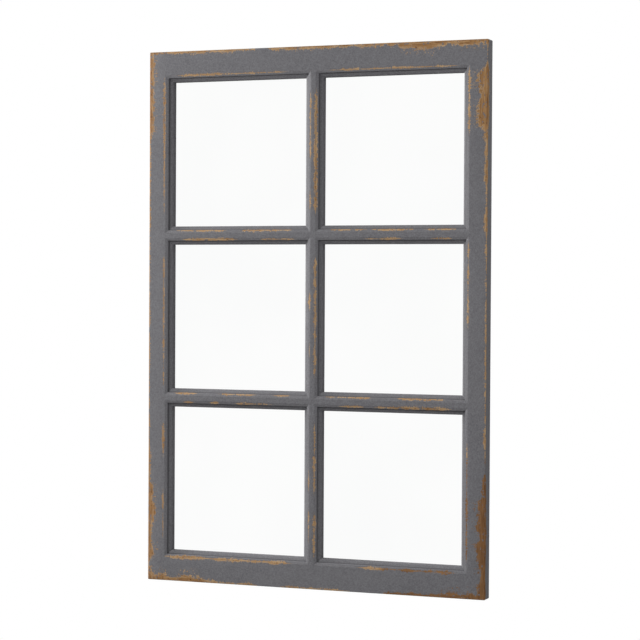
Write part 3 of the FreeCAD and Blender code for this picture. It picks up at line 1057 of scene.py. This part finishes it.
rubber, tree, shader, place = new_finish("moulded_rubber")
skin = noise(tree, place, (1500, 1500, 1500), 3, 0.6)
dust = noise(tree, place, (260, 260, 260), 4, 0.65, (2, 7, 3))
tone = blend(tree, ramp_value(tree, skin, 0.3, 0.7), rubber_dark, rubber_light)
tone = blend(tree, scaled(tree, ramp_value(tree, dust, 0.54, 0.70), 0.4), tone, rubber_dust)
tree.links.new(tone, shader.inputs["Base Color"])
tree.links.new(ramp_value(tree, dust, 0.3, 0.7, 0.6, 0.82), shader.inputs["Roughness"])
raise_surface(tree, shader, skin, 0.3, 0.0002)
for label, side, row in (("upper_left", -1, 1), ("upper_right", 1, 1),
                         ("lower_left", -1, -1), ("lower_right", 1, -1)):
    bumper = copied(bumper_model, "rubber_" + label)
    put_in_place(bumper, 0, (side * hanger_x, 0, row * bumper_z))
    finish_piece(bumper, label + "_bumper", "mirror", rubber, angle=35)
bpy.data.objects.remove(bumper_model)


# Studio: a pale floor far below the hanging mirror, and soft round lights from the front, both
# sides and behind. The surround is white where it is seen, directly or in the mirror, and gives
# a dimmer light that falls off downward.
floor_size = 2.4
floor_place = (0, 0.3, -1.4)
floor_color = (0.8, 0.8, 0.79, 1)
floor_dullness = 0.8
surround_color = (0.985, 0.99, 1, 1)
surround_rise = 0.36
surround_level = 0.21
surround_least = 0.055
bpy.ops.object.select_all(action="DESELECT")
bpy.ops.mesh.primitive_plane_add(size=floor_size, location=floor_place)
floor = bpy.context.object
floor.name = "studio_floor"
floor_paint = bpy.data.materials.new("pale_floor")
floor_paint.use_nodes = True
shader = floor_paint.node_tree.nodes["Principled BSDF"]
shader.inputs["Base Color"].default_value = floor_color
shader.inputs["Roughness"].default_value = floor_dullness
floor.data.materials.append(floor_paint)


def soft_light(name, place, aim, size, power, in_mirror=True):
    """A round light, in metres and watts, that can be kept out of the mirror."""
    light = bpy.data.lights.new(name, "AREA")
    light.shape = "DISK"
    light.size = size
    light.energy = power
    holder = bpy.data.objects.new(name, light)
    bpy.context.scene.collection.objects.link(holder)
    holder.location = place
    holder.rotation_euler = (Vector(aim) - Vector(place)).to_track_quat("-Z", "Y").to_euler()
    holder.visible_camera = False
    holder.visible_glossy = in_mirror


soft_light("front_light", (-0.95, -0.8, 0.36), (-0.1, 0, 0), 0.5, 3.8)
soft_light("high_light", (-2.4, -2.43, 2.4), (0, 0, 0), 1.0, 54)
soft_light("left_light", (-2.6, -0.25, 0.57), (0, 0, 0), 0.6, 104)
soft_light("right_light", (1.7, -0.4, 0.7), (0.1, 0, 0.1), 0.6, 2)
soft_light("right_fill", (1.3, -0.9, 0.3), (0, 0, 0), 0.5, 6.6, in_mirror=False)
soft_light("back_light", (-0.3, 2.4, 0.9), (0, 0, 0), 2.0, 36)

world = bpy.data.worlds.new("white_studio")
bpy.context.scene.world = world
world.use_nodes = True
sky = world.node_tree
fill = sky.nodes["Background"]
fill.inputs["Color"].default_value = surround_color
toward = node(sky, "SeparateXYZ")
sky.links.new(node(sky, "TexCoord").outputs["Generated"], toward.inputs[0])
rise = maths(sky, "MULTIPLY_ADD", toward.outputs[2], surround_rise, surround_level)
sky.links.new(maths(sky, "MAXIMUM", rise, surround_least), fill.inputs["Strength"])
white = node(sky, "Background")
white.inputs["Color"].default_value = (1, 1, 1, 1)
path = node(sky, "LightPath")
seen = maths(sky, "MAXIMUM", path.outputs["Is Camera Ray"], path.outputs["Is Singular Ray"])
mixed = node(sky, "MixShader")
sky.links.new(seen, mixed.inputs[0])
sky.links.new(fill.outputs[0], mixed.inputs[1])
sky.links.new(white.outputs[0], mixed.inputs[2])
sky.links.new(mixed.outputs[0], sky.nodes["World Output"].inputs["Surface"])
bpy.context.scene.view_settings.view_transform = "Standard"


# Camera: to the right of the mirror and a little above its middle, turned to face it.
# Its place, lens and slight roll are fitted to the four outer edges of the sash.
camera_place = Vector((1.26374, -3.21901, 0.05273))
camera_aim = Vector((0.01415, -0.0314, -0.00286))
camera_roll = math.radians(0.3072)
lens = bpy.data.cameras.new("camera")
lens.lens = 114.759
lens.sensor_width = 36
camera = bpy.data.objects.new("camera", lens)
bpy.context.scene.collection.objects.link(camera)
camera.location = camera_place
facing = (camera_aim - camera_place).to_track_quat("-Z", "Y")
camera.rotation_euler = (facing @ Quaternion((0, 0, 1), camera_roll)).to_euler()
bpy.context.scene.camera = camera
